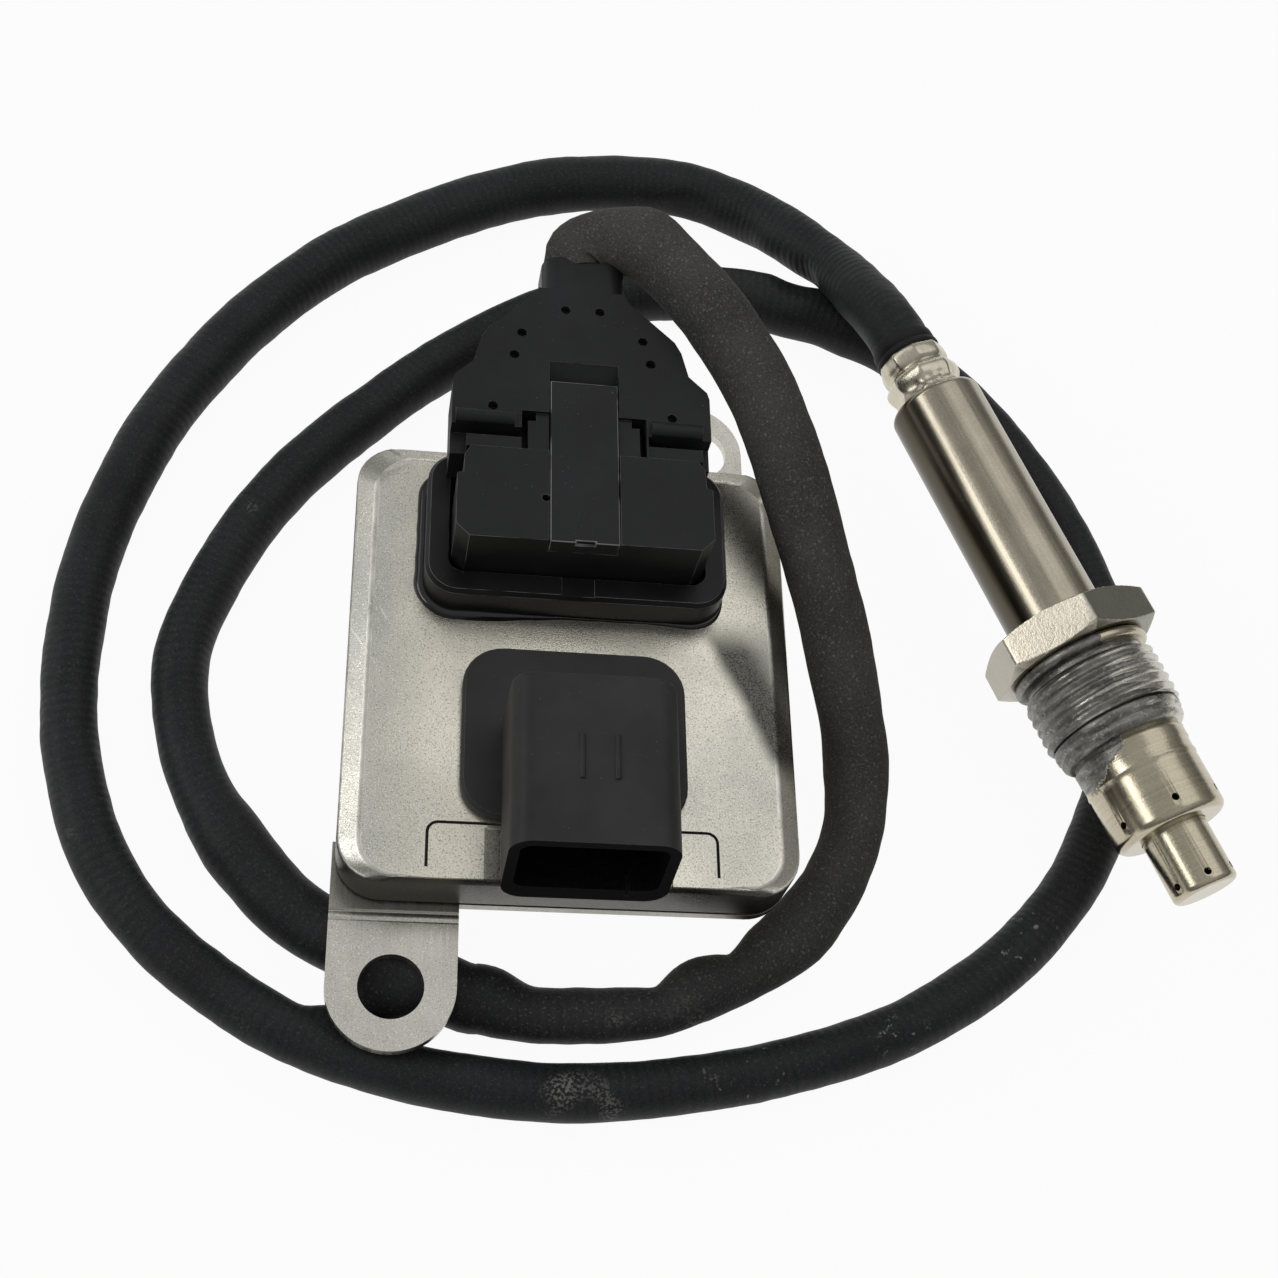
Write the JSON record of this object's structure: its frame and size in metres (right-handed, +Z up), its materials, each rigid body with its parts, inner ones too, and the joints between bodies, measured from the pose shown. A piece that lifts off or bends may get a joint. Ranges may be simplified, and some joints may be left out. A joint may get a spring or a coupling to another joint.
{
  "type": "nitrogen oxide sensor",
  "caption": "Exhaust gas sensor: a flat metal-cased control unit with fixing ears and a hooded socket, joined by a sleeved cable to a screw-in hexagon probe.",
  "frame": {"origin": "centre of the control unit's flat underside, on which the object rests", "axes": "+Z up, out of the top face; +X to the right in the picture; -Y towards the near fixing ear"},
  "size_m": [0.1607, 0.1597, 0.0391],
  "materials": {
    "plate_metal": "pressed sheet, satin",
    "cover_metal": "pressed sheet, satin, finely speckled",
    "pan_metal": "pressed sheet, satin",
    "seal_rubber": "matte black rubber",
    "header_sealant": "glossy black sealant",
    "screw_steel": "zinc plated",
    "board_laminate": "green laminate",
    "component_black": "moulded parts",
    "header_plastic": "black moulded plastic",
    "pin_brass": "tin plated",
    "socket_plastic": "black moulded plastic",
    "plug_plastic": "black moulded plastic",
    "strap_plastic": "black moulded plastic",
    "sleeve_fabric": "woven black sleeve",
    "boot_rubber": "black rubber",
    "probe_steel": "turned stainless steel",
    "hex_steel": "turned and milled stainless steel",
    "ring_steel": "bright",
    "shield_steel": "deep-drawn, bright",
    "grommet_white": "white fluoropolymer",
    "wire_insulation": "lead insulation",
    "ceramic_white": "fired ceramic",
    "talc_fill": "pressed powder"
  },
  "bodies": {
    "root": {"mounting_plate": "plate_metal", "top_cover": "cover_metal", "bottom_cover": "pan_metal", "cover_seal": "seal_rubber", "pan_seal": "seal_rubber", "socket_seal": "seal_rubber", "plug_seal": "seal_rubber", "neck_grommet": "seal_rubber", "header_seal": "header_sealant", "case_screws": "screw_steel", "board_screws": "screw_steel", "circuit_board": "board_laminate", "board_components": "component_black", "sensor_header": "header_plastic", "header_pins": "pin_brass", "socket_pins": "pin_brass", "plug_terminals": "pin_brass", "vehicle_socket": "socket_plastic", "plug_housing": "plug_plastic", "plug_back_shell": "plug_plastic", "plug_lock_strap": "strap_plastic", "cable_sleeve": "sleeve_fabric", "cable_boot": "boot_rubber", "crimp_collar": "probe_steel", "body_tube": "probe_steel", "hex_body": "hex_steel", "seal_ring": "ring_steel", "outer_shield": "shield_steel", "inner_shield": "shield_steel", "tube_grommet": "grommet_white", "lead_wires": "wire_insulation", "contact_holder": "ceramic_white", "rear_bush": "ceramic_white", "front_bush": "ceramic_white", "sensing_element": "ceramic_white", "talc_ring": "talc_fill"}
  },
  "joints": []
}
